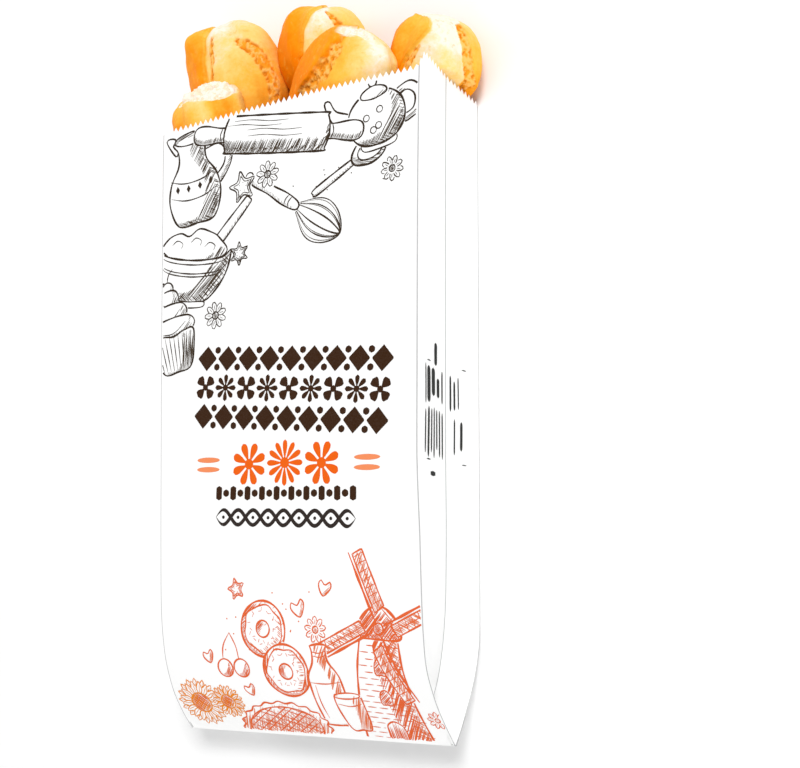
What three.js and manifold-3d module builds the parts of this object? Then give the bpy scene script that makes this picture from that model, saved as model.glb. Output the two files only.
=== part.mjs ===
// A gusseted paper bread bag, lying on its back panel, with five crusty bread rolls in its open mouth.
//
// Frame, in millimetres: +X runs across the front panel to the right, +Y runs along the bag from the
// pinched bottom to the mouth, and +Z points up, out of the front panel. The back panel lies on z = 0.
// The origin is the middle of the whole object's footprint.

import * as THREE from "three";
import { mergeVertices } from "three/addons/utils/BufferGeometryUtils.js";
import Module from "manifold-3d";

// ---- Driving dimensions of the bag ----
const PANEL_WIDTH = 200; // front and back panels
const BAG_LENGTH = 397; // pinched edge to the middle of the saw-tooth cut
const PAPER = 0.7; // wall of the solid
const TOOTH_HEIGHT = 3.5; // saw-tooth cut, valley to peak
const TEETH_ACROSS_PANEL = 47;
const TEETH_ACROSS_HALF_GUSSET = 9;
const EAR_RISE = 11.5; // the right gusset's cut climbs this far above the front panel's
const EAR_PEAK = 0.1; // share of the gusset, from the front fold, at which it is highest
const EAR_AT_FOLD = 2; // rise left at the front fold itself
const CUT_SLANT = 4.2; // the cut stands this much lower at the left front fold, and level from CUT_LEVEL rightwards
const CUT_LEVEL = 0.6;
const POCKET_START = 10; // the open inside begins this far above the pinched edge
const FLAP_LENGTH = 17; // the bottom is turned up and glued on the back
const FLAP_STEP = 0.8;

// Side view of the bag: height of each panel over the floor along the bag, and how deep the side folds tuck in.
const FRONT_RIGHT_PROFILE = [[0, 29.8], [9, 38], [26, 51.5], [48, 62], [75, 65.6], [115, 68.2], [170, 71.8], [300, 72], [375, 71.2], [411, 70.2]];
const FRONT_LEFT_PROFILE = [[0, 29.8], [9, 38], [26, 49.5], [48, 58], [75, 62.6], [115, 65.2], [170, 68], [240, 71.4], [320, 74.6], [385, 77], [411, 77.4]];
const BACK_PROFILE = [[0, 28.2], [8, 22.4], [18, 16.6], [28, 10.6], [38, 6], [48, 2.6], [60, 0.5], [72, 0], [410, 0]];
const TUCK_PROFILE = [[0, 36], [12, 24], [26, 14], [48, 8], [90, 4], [165, 2.6], [410, 2.6]];
const ROW_HEIGHTS = [0, 4, 10, FLAP_LENGTH - 0.1, FLAP_LENGTH, 28, 38, 48, 60, 78, 115, 165, 235, 310, 370];
const COLUMNS = [6, 1, 1, 6, 1, 1]; // front, right gusset (two halves), back, left gusset (two halves)

// ---- Driving dimensions of the rolls ----
// at: widest place, x from the bag's left side, y from its mouth. lean: direction from the lower to the upper end.
// reach: from there to the lower end, the upper end, either side, the split face and the base.
// ends: bluntness of the lower end, then of the upper end on the left and on the right (2 is round, higher is blunter).
// seams: angles from straight up, towards +X, of the two torn seams of the split, at the lower and at the upper end.
const ROLLS = {
  roll_front_left: { at: [23, 8, 57], lean: [-0.36, 1, 0.1], reach: [47, 24, 29, 18, 19], ends: [2, 5, 2.8], seams: [[-34, -22], [70, 48]], torn: 3.2 },
  roll_left: { at: [25.5, 39, 27.5], lean: [-0.37, 1, 0], reach: [47, 56, 37, 27, 26], ends: [2.6, 8, 1.8], seams: [[-34, 2], [62, 25]], torn: 0 },
  roll_back_centre: { at: [89.5, 57, 17], lean: [0.12, 1, 0], reach: [38, 31.5, 33, 30, 15.5], ends: [2.2, 3.2, 2.1], seams: [[11, -14], [64, 36]], torn: 0 },
  roll_front_centre: { at: [123, 0, 47.5], lean: [0.62, 1, 0.35], reach: [60, 51, 40, 20, 21], ends: [2.2, 2, 6], seams: [[-50, 19], [104, 96]], torn: 1.2 },
  roll_right: { at: [177.5, 17, 14.5], lean: [0.34, 1, 0], reach: [42, 39.5, 32, 37, 13], ends: [3.4, 5, 2.2], seams: [[-12, -6], [118, 32]], torn: 0.6 },
};
const AROUND = 44; // facets round a roll
const ALONG = 26; // facets from end to end
const SEAM_DEPTH = 2.6;
const SEAM_WIDTH = 8; // degrees
const CLEARANCE = 0.45; // air left between neighbouring pieces

// ---- Helpers ----
const wasm = await Module();
wasm.setup();

/** Height of a polyline profile at y, rounded between its points by a smooth step of the slopes. */
function along(profile, y) {
  const last = profile.length - 1;
  if (y <= profile[0][0]) return profile[0][1];
  if (y >= profile[last][0]) return profile[last][1];
  const i = profile.findIndex(([start]) => start > y) - 1;
  const slope = (a, b) => (profile[b][1] - profile[a][1]) / (profile[b][0] - profile[a][0]);
  const tangent = (k) => (k === 0 ? slope(0, 1) : k === last ? slope(last - 1, last) : limited(slope(k - 1, k), slope(k, k + 1)));
  const span = profile[i + 1][0] - profile[i][0];
  const t = (y - profile[i][0]) / span;
  const [from, to] = [profile[i][1], profile[i + 1][1]];
  return (1 + 2 * t) * (1 - t) ** 2 * from + t * (1 - t) ** 2 * span * tangent(i)
    + t * t * (3 - 2 * t) * to + t * t * (t - 1) * span * tangent(i + 1);
}

/** A tangent that never overshoots: the harmonic mean of two slopes of one sign. */
function limited(a, b) {
  return a * b <= 0 ? 0 : (2 * a * b) / (a + b);
}

/** The closed mesh as a manifold-3d solid, its shared vertices merged. */
function solidOf(geometry) {
  const bare = new THREE.BufferGeometry().setAttribute("position", geometry.getAttribute("position"));
  bare.setIndex(geometry.getIndex());
  const merged = mergeVertices(bare, 1e-4);
  return new wasm.Manifold(new wasm.Mesh({
    numProp: 3,
    vertProperties: new Float32Array(merged.getAttribute("position").array),
    triVerts: new Uint32Array(merged.getIndex().array),
  }));
}

/** A manifold-3d solid as a three.js geometry. */
function geometryOf(solid) {
  const mesh = solid.getMesh();
  const positions = new Float32Array(mesh.numVert * 3);
  for (let i = 0; i < mesh.numVert; i++) {
    positions.set(mesh.vertProperties.subarray(i * mesh.numProp, i * mesh.numProp + 3), i * 3);
  }
  return new THREE.BufferGeometry()
    .setAttribute("position", new THREE.BufferAttribute(positions, 3))
    .setIndex(new THREE.BufferAttribute(new Uint32Array(mesh.triVerts), 1));
}

// ---- The paper bag ----

/** The six corners of the bag at height y: front left, front right, right fold, back right, back left, left fold. */
function corners(y, flap = 0) {
  const half = PANEL_WIDTH / 2;
  const [left, right] = [along(FRONT_LEFT_PROFILE, y), along(FRONT_RIGHT_PROFILE, y)];
  const back = along(BACK_PROFILE, y) - flap;
  const tuck = half - along(TUCK_PROFILE, y);
  return [[-half, left], [half, right], [tuck, (right + back) / 2], [half, back], [-half, back], [-tuck, (left + back) / 2]]
    .map(([x, z]) => new THREE.Vector2(x, z));
}

/** The corners moved inwards by a distance, each to where the moved lines of its two walls meet. */
function insetCorners(y, distance, flap = 0) {
  const outline = corners(y, flap);
  const wall = (k) => {
    const from = outline[(k + 6) % 6];
    const direction = outline[(k + 7) % 6].clone().sub(from).normalize();
    const inwards = new THREE.Vector2(direction.y, -direction.x);
    return { point: from.clone().addScaledVector(inwards, distance), direction };
  };
  return outline.map((_, k) => {
    const [a, b] = [wall(k - 1), wall(k)];
    const gap = b.point.clone().sub(a.point);
    const run = gap.cross(b.direction) / a.direction.cross(b.direction);
    return a.point.clone().addScaledVector(a.direction, run);
  });
}

/** A point of the wall: panel 0 to 5, share 0 to 1 across it, at height y. */
function wallPoint(cornersAt, panel, share, y) {
  const outline = cornersAt(y);
  const p = outline[panel].clone().lerp(outline[(panel + 1) % 6], share);
  return new THREE.Vector3(p.x, y, p.y);
}

/** Height of the saw-tooth cut at a share across a panel. Even steps are valleys, odd steps peaks. */
function cutHeight(panel, share, step, grow) {
  const tooth = (step % 2 === 0 && grow === 0 ? -0.5 : 0.5) * TOOTH_HEIGHT + grow;
  if (panel === 0) return BAG_LENGTH + tooth - CUT_SLANT * Math.max(0, 1 - share / CUT_LEVEL);
  if (panel === 3) return BAG_LENGTH + tooth;
  if (panel > 3) return BAG_LENGTH + tooth - CUT_SLANT * (panel - 4 + share) / 2;
  const intoGusset = (panel - 1 + share) / 2;
  const ear = intoGusset < EAR_PEAK
    ? THREE.MathUtils.lerp(EAR_AT_FOLD, EAR_RISE, intoGusset / EAR_PEAK)
    : EAR_RISE * (1 - intoGusset) / (1 - EAR_PEAK);
  return BAG_LENGTH + tooth + ear;
}

/** The vertices of one row round the bag, and of the saw-tooth line, as lists of [panel, share, y]. */
function rowStations(y) {
  return COLUMNS.flatMap((count, panel) => Array.from({ length: count }, (_, i) => ({ panel, share: i / count, y })));
}

function cutStations(grow) {
  return COLUMNS.flatMap((_, panel) => {
    const steps = 2 * (panel % 3 === 0 ? TEETH_ACROSS_PANEL : TEETH_ACROSS_HALF_GUSSET);
    return Array.from({ length: steps }, (_, i) => ({ panel, share: i / steps, y: cutHeight(panel, i / steps, i, grow) }));
  });
}

/** Joins two closed rows of stations, in order of their place round the bag, with triangles facing outwards. */
function zipRows(lower, upper, lowerStart, upperStart, faces, flipped) {
  const place = ({ panel, share }) => panel + share;
  const push = (a, b, c) => faces.push(...(flipped ? [a, b, c] : [a, c, b]));
  let [i, j] = [0, 0];
  while (i < lower.length || j < upper.length) {
    const nextLower = i + 1 < lower.length ? place(lower[i + 1]) : 6 + (i + 1 > lower.length ? 1 : 0);
    const nextUpper = j + 1 < upper.length ? place(upper[j + 1]) : 6 + (j + 1 > upper.length ? 1 : 0);
    const a = lowerStart + (i % lower.length);
    const b = upperStart + (j % upper.length);
    if (j >= upper.length || (i < lower.length && nextLower <= nextUpper)) {
      push(a, b, lowerStart + ((i + 1) % lower.length));
      i++;
    } else {
      push(a, b, upperStart + ((j + 1) % upper.length));
      j++;
    }
  }
}

/** One skin of the wall, from its first row to the saw-tooth cut. Returns the first row's and the cut's first vertex. */
function addSkin(cornersAt, heights, vertices, faces, flipped, grow) {
  const rows = [...heights.map(rowStations), cutStations(grow)];
  const starts = rows.map((row) => {
    const start = vertices.length;
    row.forEach(({ panel, share, y }) => vertices.push(wallPoint(cornersAt, panel, share, y)));
    return start;
  });
  for (let k = 0; k + 1 < rows.length; k++) zipRows(rows[k], rows[k + 1], starts[k], starts[k + 1], faces, flipped);
  return { first: starts[0], cut: starts.at(-1), firstRow: rows[0], cutLength: rows.at(-1).length };
}

/** Closes a skin's first row with flat triangles that face down the bag, or up it when flipped. */
function addCap(skin, vertices, faces, flipped) {
  const row = skin.firstRow.map((_, k) => vertices[skin.first + k]);
  const outline = row.map((v) => new THREE.Vector2(v.x, v.z));
  THREE.ShapeUtils.triangulateShape(outline, []).forEach(([a, b, c]) => {
    const facesUp = new THREE.Triangle(row[a], row[b], row[c]).getNormal(new THREE.Vector3()).y > 0;
    faces.push(...(facesUp === flipped ? [a, b, c] : [a, c, b]).map((k) => k + skin.first));
  });
}

/**
 * The bag's wall and pinched bottom. With grow, it is the space the rolls keep out of: the wall swollen inwards and
 * at its cut by grow, its teeth filled in, and everything close outside it.
 */
function paperBag(grow = 0) {
  const vertices = [];
  const faces = [];
  const outside = (y) => insetCorners(y, -40 * grow, y < FLAP_LENGTH ? FLAP_STEP : 0);
  const inside = (y) => insetCorners(y, PAPER + grow);
  const outer = addSkin(outside, ROW_HEIGHTS, vertices, faces, false, grow);
  const inner = addSkin(inside, ROW_HEIGHTS.filter((y) => y >= POCKET_START), vertices, faces, true, grow);
  addCap(outer, vertices, faces, false);
  addCap(inner, vertices, faces, true);
  for (let k = 0; k < outer.cutLength; k++) {
    const next = (k + 1) % outer.cutLength;
    faces.push(outer.cut + k, inner.cut + next, inner.cut + k);
    faces.push(outer.cut + k, outer.cut + next, inner.cut + next);
  }
  const geometry = new THREE.BufferGeometry().setFromPoints(vertices);
  geometry.setIndex(faces);
  return geometry;
}

// ---- The bread rolls ----

/** A smooth bump that is 1 at the middle and near 0 one width away. */
const bump = (distance, width) => Math.exp(-((distance / width) ** 2));

/** Soft unevenness of the crust, from a few crossed waves. */
function unevenness(x, y, z, phase) {
  return 0.5 * Math.sin(x * 0.11 + phase) * Math.cos(y * 0.083 + 1.7 * phase)
    + 0.35 * Math.sin(y * 0.17 + z * 0.13 + 2.3 * phase)
    + 0.15 * Math.sin(x * 0.37 + y * 0.29 - z * 0.31 + phase);
}

/** One roll round its own middle: +Y along it, +X across it and +Z out of its split side. */
function rollGeometry({ reach, ends, seams, torn }, phase, grow = 0) {
  const [lower, upper, width, top, base] = reach;
  const ball = new THREE.SphereGeometry(1, AROUND, ALONG);
  const position = ball.getAttribute("position");
  const unit = new THREE.Vector3();
  for (let i = 0; i < position.count; i++) {
    unit.fromBufferAttribute(position, i);
    const v = THREE.MathUtils.clamp(unit.y, -1, 1);
    const ring = Math.hypot(unit.x, unit.z) || 1e-9;
    const [across, out] = Math.abs(v) > 1 - 1e-9 ? [0, 0] : [unit.x / ring, unit.z / ring];
    const leftShare = (1 - across) / 2;
    const bluntness = v < 0 ? ends[0] : THREE.MathUtils.lerp(ends[2], ends[1], leftShare);
    const girth = Math.sqrt(1 - Math.abs(v) ** bluntness);
    const angle = THREE.MathUtils.radToDeg(Math.atan2(across, out));
    const share = (v + 1) / 2;
    const [left, right] = seams.map(([low, high]) => THREE.MathUtils.lerp(low, high, share));
    const fade = THREE.MathUtils.smoothstep(1 - Math.abs(v), 0.02, 0.25);
    const groove = SEAM_DEPTH * fade * (bump(angle - left, SEAM_WIDTH) + bump(angle - right, SEAM_WIDTH));
    const lips = 1.1 * fade * (bump(angle - left + 15, 7) + bump(angle - right - 15, 7));
    const swell = 1.4 * fade * bump(angle - (left + right) / 2, (right - left) / 3);
    const rough = torn * bump(1 - v, 0.3) * Math.sin(9 * angle * 0.0175 + 3 * phase) * Math.cos(31 * v + phase);
    const x = width * girth * across;
    const y = (v < 0 ? lower : upper) * v;
    const z = (out < 0 ? base : top) * girth * out;
    const relief = (lips + swell - groove + 0.9 * unevenness(x, y, z, phase) * fade);
    const scale = 1 + (relief + grow) / Math.max(Math.hypot(x, z), 6);
    position.setXYZ(i, x * scale, y + grow * v + rough * fade, z * scale);
  }
  return mergeVertices(new THREE.BufferGeometry().setAttribute("position", position).setIndex(ball.getIndex()), 1e-4);
}

/** The turn and the place that carry a roll from its own frame into the bag's. */
function rollPlace({ at, lean }) {
  const axis = new THREE.Vector3(...lean).normalize();
  const up = new THREE.Vector3(0, 0, 1);
  const out = up.addScaledVector(axis, -up.dot(axis)).normalize();
  const across = new THREE.Vector3().crossVectors(axis, out);
  const matrix = new THREE.Matrix4().makeBasis(across, axis, out);
  matrix.setPosition(at[0] - PANEL_WIDTH / 2, at[1] + BAG_LENGTH, at[2]);
  return matrix;
}

/** A roll as a solid in the bag's frame, swollen by grow. */
function rollSolid(name, grow = 0) {
  const spec = ROLLS[name];
  const phase = Object.keys(ROLLS).indexOf(name) * 1.3 + 0.4;
  return solidOf(rollGeometry(spec, phase, grow).applyMatrix4(rollPlace(spec)));
}

/** Each roll is pressed in a little by the paper, and where one that was laid before it touches it. */
const PRESSED_BY = {
  roll_left: [],
  roll_back_centre: ["roll_left"],
  roll_right: [],
  roll_front_centre: ["roll_back_centre", "roll_right", "roll_left"],
  roll_front_left: ["roll_left", "roll_front_centre"],
};

function rollMesh(name, material) {
  const place = rollPlace(ROLLS[name]);
  const inBag = rollSolid(name).subtract(solidOf(paperBag(CLEARANCE)));
  const pressed = PRESSED_BY[name].reduce((solid, other) => solid.subtract(rollSolid(other, CLEARANCE)), inBag);
  const biggest = pressed.decompose().sort((a, b) => b.volume() - a.volume())[0];
  const mesh = new THREE.Mesh(geometryOf(biggest).applyMatrix4(place.clone().invert()), material);
  mesh.name = name;
  place.decompose(mesh.position, mesh.quaternion, mesh.scale);
  return mesh;
}

// ---- Assembly ----
const paper = new THREE.MeshStandardMaterial({ color: 0xfbfaf7, roughness: 0.75, metalness: 0 });
const crust = new THREE.MeshStandardMaterial({ color: 0xf6b45a, roughness: 0.6, metalness: 0 });

const bag = new THREE.Mesh(paperBag(), paper);
bag.name = "paper_bag";

const breadBag = new THREE.Group();
breadBag.add(bag, ...Object.keys(ROLLS).map((name) => rollMesh(name, crust)));

// The origin goes to the middle of the footprint, at floor level.
const bounds = new THREE.Box3().setFromObject(breadBag, true);
const middle = bounds.getCenter(new THREE.Vector3());
breadBag.position.set(-middle.x, -middle.y, -bounds.min.z);

export default breadBag;
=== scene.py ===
# %% [markdown]
# # A paper bread bag with five rolls
# The bag is a white paper tube with folded sides, a pinched bottom and a saw-tooth mouth. It can't stand
# by itself, so it lies on its back panel. Five crusty rolls lie in the mouth. The solids of the bag and of
# each roll come ready made. Here each one gets its real surface: thin creased paper, a printed front, and
# crust that has split open in the oven.

import math
import random

import bpy
import numpy as np
from mathutils import Matrix, Vector, noise


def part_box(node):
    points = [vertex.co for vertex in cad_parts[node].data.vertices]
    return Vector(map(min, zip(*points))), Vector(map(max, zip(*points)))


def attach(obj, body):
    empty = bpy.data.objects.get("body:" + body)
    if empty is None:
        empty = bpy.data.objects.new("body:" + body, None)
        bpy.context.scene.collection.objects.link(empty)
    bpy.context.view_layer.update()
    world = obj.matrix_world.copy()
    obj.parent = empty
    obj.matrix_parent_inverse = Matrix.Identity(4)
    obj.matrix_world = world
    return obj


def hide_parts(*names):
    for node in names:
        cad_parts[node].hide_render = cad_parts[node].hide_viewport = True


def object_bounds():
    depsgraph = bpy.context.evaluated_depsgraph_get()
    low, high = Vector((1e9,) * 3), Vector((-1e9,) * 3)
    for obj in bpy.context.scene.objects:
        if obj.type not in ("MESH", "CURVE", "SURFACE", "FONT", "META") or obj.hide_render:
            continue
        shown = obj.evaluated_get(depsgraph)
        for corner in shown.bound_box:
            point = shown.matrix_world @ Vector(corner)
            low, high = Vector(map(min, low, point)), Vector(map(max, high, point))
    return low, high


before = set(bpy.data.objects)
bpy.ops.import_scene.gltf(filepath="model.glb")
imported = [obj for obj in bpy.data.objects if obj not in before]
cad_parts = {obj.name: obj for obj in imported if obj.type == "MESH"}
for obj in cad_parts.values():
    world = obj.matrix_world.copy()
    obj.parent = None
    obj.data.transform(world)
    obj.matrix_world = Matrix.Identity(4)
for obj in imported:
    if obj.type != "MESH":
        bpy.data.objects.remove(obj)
solid_low, solid_high = [list(corner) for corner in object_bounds()]
print("solids from", solid_low, "to", solid_high)

# %% [markdown]
# ## Measures
# All sizes are in millimetres, as on a drawing, and MM turns them into Blender's metres. Across the bag is
# X, from its pinched bottom to its mouth is Y, and up, out of the printed front, is Z. The bag's own left
# edge and bottom edge are read from its solid, so everything stays with it if the solid moves.

# %% Measures of the bag
MM = 0.001
PANEL_WIDTH = 200
HALF_GUSSET = 36.5
BAG_LENGTH = 397
PAPER = 0.35
TEETH_ACROSS_PANEL = 47
TEETH_ACROSS_HALF_GUSSET = 9
TOOTH_HEIGHT = 3.5

LEFT_EDGE, BOTTOM_EDGE = [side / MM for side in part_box("paper_bag")[0][:2]]


def in_scene(across, along, up):
    """A point given from the bag's bottom left corner in millimetres, as a place in the scene in metres."""
    return Vector(((across + LEFT_EDGE) * MM, (along + BOTTOM_EDGE) * MM, up * MM))


print("bag's bottom left corner in the scene:", in_scene(0, 0, 0))

# %% [markdown]
# ## Camera
# The photograph was taken from low on the bag's right. Laid down, the bag is seen from above its bottom
# end. The camera's place, its two turns and its focal length were found by matching the bag's corners.

# %% Camera
FOCAL_LENGTH = 58.47
CAMERA_PLACE = in_scene(590.3, 75.3, 692.1)
SWING, NOD, ROLL = (math.radians(angle) for angle in (32.95, 9.92, 0.33))

bpy.ops.object.camera_add(location=CAMERA_PLACE)
camera = bpy.context.object
camera.name = "camera"
level_view = Vector((-math.sin(SWING), 0, -math.cos(SWING)))
level_up = Vector((0, 1, 0))
level_right = level_view.cross(level_up)
view = level_view * math.cos(NOD) + level_up * math.sin(NOD)
up = level_up * math.cos(NOD) - level_view * math.sin(NOD)
right = level_right * math.cos(ROLL) + up * math.sin(ROLL)
up = up * math.cos(ROLL) - level_right * math.sin(ROLL)
camera.matrix_world = Matrix.Translation(CAMERA_PLACE) @ Matrix((right, up, -view)).transposed().to_4x4()
camera.data.lens = FOCAL_LENGTH
camera.data.clip_start = 0.01
bpy.context.scene.camera = camera
print("camera looks along", [round(part, 3) for part in view])

# %% [markdown]
# ## Floor and light
# A pale floor and bright soft light give the clean white picture of a catalogue. The key lamp hangs high on
# the right, past the mouth, so the shadow falls to the left and past the pinched end, where the bag hides
# most of it. Three weaker lamps near the floor brighten the sides, and a white world fills the shadows in.

# %% Floor and light
FLOOR_SIZE = 30
ROOM_LIGHT = 0.6
LAMPS = (
    ("key_lamp", (1.5, 1.3, 2.9), (0, 0, 0), 1.2, 66),
    ("side_lamp", (3.6, 0.2, 0.6), (0.1, 0, 0.03), 1.2, 12),
    ("left_lamp", (-3.2, 1.2, 1.1), (0, 0.1, 0.03), 1.4, 30),
    ("front_lamp", (0.4, -3.6, 0.9), (0, -0.1, 0.03), 1.4, 38),
)


def paint_plain(name, colour, roughness):
    """A material of one colour, for the floor."""
    material = bpy.data.materials.new(name)
    material.use_nodes = True
    surface = material.node_tree.nodes["Principled BSDF"]
    surface.inputs["Base Color"].default_value = (*colour, 1)
    surface.inputs["Roughness"].default_value = roughness
    return material


def add_lamp(name, place, aim, size, power):
    """A square soft lamp at a place, turned to shine at a point."""
    bpy.ops.object.light_add(type="AREA", location=place)
    lamp = bpy.context.object
    lamp.name = name
    lamp.data.size = size
    lamp.data.energy = power
    lamp.rotation_euler = (Vector(aim) - Vector(place)).to_track_quat("-Z", "Y").to_euler()
    print(name, "shines with", power, "watts")


bpy.ops.mesh.primitive_plane_add(size=FLOOR_SIZE, location=(0, 0, solid_low[2] - 0.0002))
floor = bpy.context.object
floor.name = "floor"
floor.data.materials.append(paint_plain("floor_white", (0.9, 0.9, 0.9), 0.9))

for lamp_settings in LAMPS:
    add_lamp(*lamp_settings)
world = bpy.data.worlds.new("white_room")
world.use_nodes = True
world.node_tree.nodes["Background"].inputs["Color"].default_value = (1, 1, 1, 1)
world.node_tree.nodes["Background"].inputs["Strength"].default_value = ROOM_LIGHT
bpy.context.scene.world = world
bpy.context.scene.view_settings.view_transform = "Standard"

# %% [markdown]
# ## The sheet of the bag
# A bag like this starts as one flat sheet that is folded into a tube. The model does the same: a grid is
# wrapped round the six walls of the tube. These are the front, the two halves of the right side fold, the
# back, and the two halves of the left side fold. The side view gives the height of each fold along the bag.

# %% Side view of the bag
SIDE_VIEW = {
    "front_right": [(0, 29.8), (9, 38), (26, 51.5), (48, 62), (75, 65.6), (115, 68.2), (170, 71.8),
                    (300, 72), (375, 71.2), (411, 70.2)],
    "front_left": [(0, 29.8), (9, 38), (26, 49.5), (48, 58), (75, 62.6), (115, 65.2), (170, 68),
                   (240, 71.4), (320, 74.6), (385, 77), (411, 77.4)],
    "back": [(0, 28.2), (8, 22.4), (18, 16.6), (28, 10.6), (38, 6), (48, 2.6), (60, 0.5), (72, 0), (411, 0)],
    "tuck": [(0, 36), (12, 24), (26, 14), (48, 8), (90, 4), (165, 2.6), (411, 2.6)],
}
DISTANCES = np.arange(0, 411.5, 0.5)


def even_slope(before, after):
    """The slope of a smooth line between two stretches, without overshoot."""
    return 0 if before * after <= 0 else 2 * before * after / (before + after)


def height_along(profile, along):
    """The height of a smooth profile at a distance along the bag."""
    k = max(i for i in range(len(profile) - 1) if profile[i][0] <= along)
    slopes = [(b[1] - a[1]) / (b[0] - a[0]) for a, b in zip(profile, profile[1:])]
    at_start = slopes[0] if k == 0 else even_slope(slopes[k - 1], slopes[k])
    at_end = slopes[-1] if k == len(slopes) - 1 else even_slope(slopes[k], slopes[k + 1])
    (start, low), (end, high) = profile[k], profile[k + 1]
    span = end - start
    t = (along - start) / span
    return ((1 + 2 * t) * (1 - t) ** 2 * low + t * (1 - t) ** 2 * span * at_start
            + t * t * (3 - 2 * t) * high + t * t * (t - 1) * span * at_end)


HEIGHTS = {name: [height_along(profile, y) for y in DISTANCES] for name, profile in SIDE_VIEW.items()}


def tube_corners(along):
    """The six folds of the tube at some distances along it, as pairs of across and up."""
    left, right, back, tuck = [
        np.interp(along, DISTANCES, HEIGHTS[name]) for name in ("front_left", "front_right", "back", "tuck")]
    none = 0 * left
    full = none + PANEL_WIDTH
    return [(none, left), (full, right), (full - tuck, (right + back) / 2),
            (full, back), (none, back), (tuck, (left + back) / 2)]


print("bag is", round(HEIGHTS["front_right"][round(BAG_LENGTH * 2)], 1), "mm deep at the mouth")

# %% [markdown]
# Paper that has been folded, filled and laid down is never quite flat. The walls get a slow wave of less
# than a millimetre, which dies out at the folds, at the mouth and at the pinched bottom. The back wall
# stays flat, because the bag lies on it.

# %% Places on the walls of the tube
WAVE = 0.8
FRONT, RIGHT_FRONT, RIGHT_BACK, BACK, LEFT_BACK, LEFT_FRONT = range(6)


def paper_wave(wall, share, along):
    """How far the paper stands proud of its flat wall."""
    calm = np.sin(np.pi * share) * np.minimum(1, along / 60) * np.minimum(1, (BAG_LENGTH + 15 - along) / 60)
    wave = (0.6 * np.sin(along * 0.031 + 2.1 * wall) * np.sin(share * 5.1 + 0.9 * wall)
            + 0.4 * np.sin(along * 0.058 + 4 * share + wall))
    return 0 * share if wall == BACK else WAVE * calm * wave


def on_wall(wall, share, along, lift=0.0):
    """Places in the scene for shares across a wall and distances along it, lifted off the paper by lift."""
    corners = tube_corners(along)
    (x0, z0), (x1, z1) = corners[wall], corners[(wall + 1) % 6]
    wide = np.hypot(x1 - x0, z1 - z0)
    proud = paper_wave(wall, share, along) + lift
    across = x0 + (x1 - x0) * share - (z1 - z0) / wide * proud
    up = z0 + (z1 - z0) * share + (x1 - x0) / wide * proud
    return np.stack([across + LEFT_EDGE, along + BOTTOM_EDGE, up], axis=-1) * MM


print("middle of the front:", on_wall(FRONT, np.array([0.5]), np.array([BAG_LENGTH / 2]))[0].round(4))

# %% [markdown]
# The cut at the mouth is a row of teeth. It drops a little towards the left front corner, and over the
# right side fold it rises to a pointed ear and falls away again to the back.

# %% The saw-tooth cut
EAR_RISE = 11.5
EAR_PEAK = 0.1
EAR_AT_FOLD = 2
CUT_SLANT = 4.2
CUT_LEVEL = 0.6


def cut_height(wall, share, step):
    """How far along the bag the cut is, at shares across one wall. Odd steps are the teeth's points."""
    level = BAG_LENGTH + np.where(step % 2 == 1, TOOTH_HEIGHT / 2, -TOOTH_HEIGHT / 2)
    if wall == FRONT:
        return level - CUT_SLANT * np.maximum(0, 1 - share / CUT_LEVEL)
    if wall in (RIGHT_FRONT, RIGHT_BACK):
        into_side = (wall - 1 + share) / 2
        rising = EAR_AT_FOLD + (EAR_RISE - EAR_AT_FOLD) * into_side / EAR_PEAK
        falling = EAR_RISE * (1 - into_side) / (1 - EAR_PEAK)
        return level + np.minimum(rising, falling)
    if wall == BACK:
        return level
    return level - CUT_SLANT * (wall - 4 + share) / 2


print("teeth of the front begin and end at", cut_height(FRONT, np.array([0, 1]), np.array([1, 1])), "mm")

# %% [markdown]
# The grid has a column for each flank of a tooth. Its last row is the cut itself, so the teeth are real
# corners of the sheet. All other rows are spread evenly along the bag.

# %% Wrap the sheet round the tube
WALL_COLUMNS = [2 * TEETH_ACROSS_PANEL, 2 * TEETH_ACROSS_HALF_GUSSET, 2 * TEETH_ACROSS_HALF_GUSSET] * 2
COLUMNS = sum(WALL_COLUMNS)
ROWS = 90
LAST_ROW = BAG_LENGTH - 7


def deselect_all():
    """Leaves edit mode with nothing selected."""
    if bpy.context.object and bpy.context.object.mode != "OBJECT":
        bpy.ops.object.mode_set(mode="OBJECT")
    bpy.ops.object.select_all(action="DESELECT")


def points_of(thing):
    """The places of a mesh's points, a row each."""
    places = np.empty(len(thing.data.vertices) * 3)
    thing.data.vertices.foreach_get("co", places)
    return places.reshape(-1, 3)


def move_points(thing, places):
    """Puts a mesh's points in new places."""
    thing.data.vertices.foreach_set("co", np.ravel(places))
    thing.data.update()


deselect_all()
bpy.ops.mesh.primitive_grid_add(x_subdivisions=COLUMNS, y_subdivisions=ROWS, size=1, calc_uvs=True)
paper_sheet = bpy.context.object
paper_sheet.name = "paper_tube"
flat = points_of(paper_sheet)
columns = np.round((flat[:, 0] + 0.5) * COLUMNS).astype(int) % COLUMNS
rows = np.round((flat[:, 1] + 0.5) * ROWS)
wrapped = flat.copy()
first = 0
for wall, count in enumerate(WALL_COLUMNS):
    here = (columns >= first) & (columns < first + count)
    step = columns[here] - first
    share = step / count
    top = cut_height(wall, share, step)
    along = np.where(rows[here] < ROWS, rows[here] / (ROWS - 1) * LAST_ROW, top)
    wrapped[here] = on_wall(wall, share, along)
    first += count
move_points(paper_sheet, wrapped)
print("sheet has", len(flat), "points")

# %% [markdown]
# The first and last columns now lie on each other and are merged into the glued seam. At the bottom the
# front wall is longer than the back: its end is turned round the pinched edge and glued up on the back.

# %% Close the tube and turn up the bottom flap
FRONT_BOTTOM = 29.79
# Each step draws the flap's free edge out by so much across, along and up.
FLAP_STEPS = [(0, -0.7, -0.5), (0, 0, -1.2), (0, 0.9, -0.7), (0, 4, -2.75), (0, 5, -3.45), (0, 6, -3.55)]


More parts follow.
